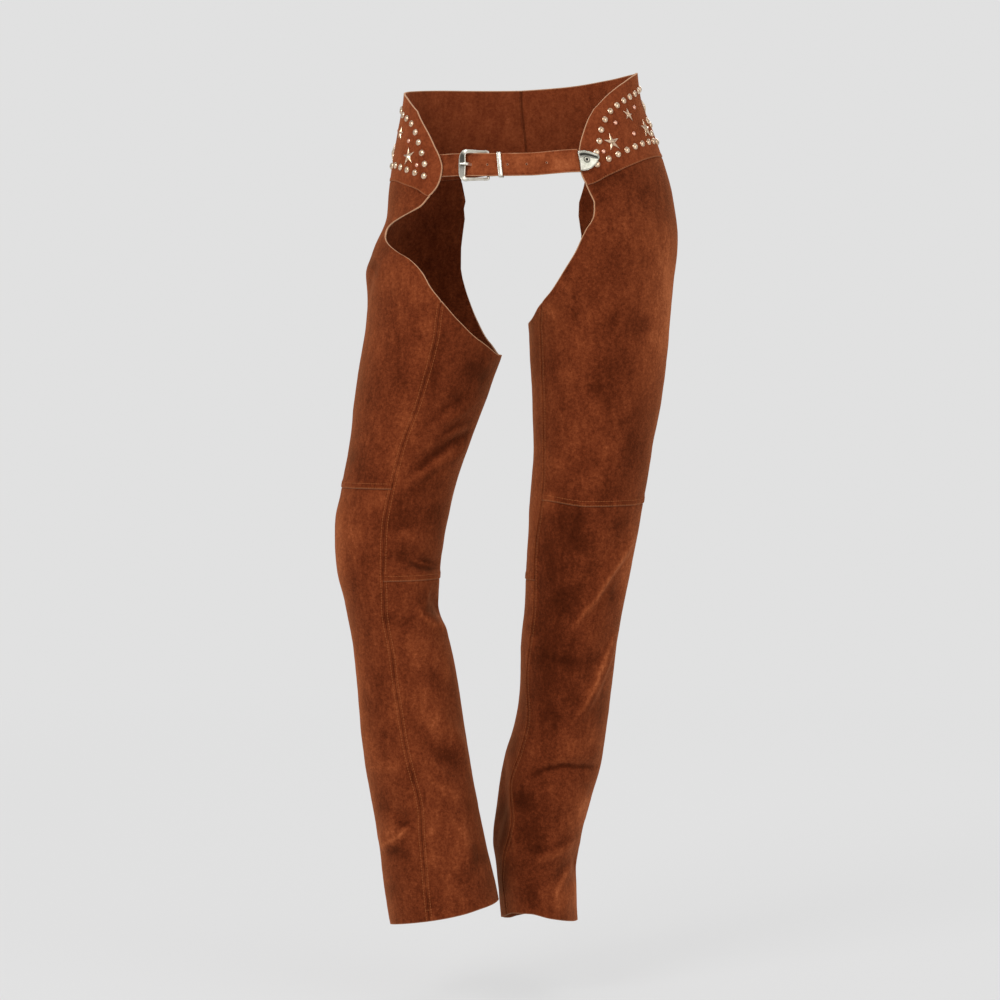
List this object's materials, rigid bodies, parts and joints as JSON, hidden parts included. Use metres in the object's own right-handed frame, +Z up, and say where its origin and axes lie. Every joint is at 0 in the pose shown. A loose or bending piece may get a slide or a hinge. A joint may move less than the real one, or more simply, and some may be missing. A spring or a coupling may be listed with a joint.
{
  "type": "suede leather chaps",
  "caption": "Full-length worn suede chaps with an open seat, a studded hip yoke and a buckled front belt, standing in the form of a walking wearer.",
  "frame": {"origin": "the middle of the waist, level with the belt's middle, where the wearer holds the garment up", "axes": "+Z is up along the wearer, -Y is where the wearer faces, +X is the wearer's left"},
  "size_m": [0.4252, 0.2439, 1.0712],
  "materials": {
    "suede": "brushed rust-brown suede with a short nap, raw paler edges and tonal topstitching",
    "belt_suede": "rust-brown suede strap, a little smoother and redder than the legs, with punched holes",
    "buckle_metal": "polished nickel with a shallow worked surface darkened in its hollows",
    "stud_metal": "polished nickel studs with a warm tint from the suede around them"
  },
  "bodies": {
    "root": {"left_thigh_front": "suede", "left_shin_front": "suede", "left_thigh_back": "suede", "left_calf_back": "suede", "left_yoke": "suede", "right_thigh_front": "suede", "right_shin_front": "suede", "right_thigh_back": "suede", "right_calf_back": "suede", "right_yoke": "suede", "belt_billet": "belt_suede", "belt_buckle_strap": "belt_suede", "buckle_frame": "buckle_metal", "buckle_prong": "buckle_metal", "belt_keeper": "buckle_metal", "belt_tip": "buckle_metal", "belt_tip_rivet": "buckle_metal", "left_star_1": "stud_metal", "left_star_2": "stud_metal", "left_star_3": "stud_metal", "left_star_4": "stud_metal", "left_star_5": "stud_metal", "left_star_6": "stud_metal", "left_star_7": "stud_metal", "left_star_8": "stud_metal", "left_star_9": "stud_metal", "right_star_1": "stud_metal", "right_star_2": "stud_metal", "right_star_3": "stud_metal", "right_star_4": "stud_metal", "right_star_5": "stud_metal", "right_star_6": "stud_metal", "right_star_7": "stud_metal", "right_star_8": "stud_metal"}
  },
  "joints": []
}
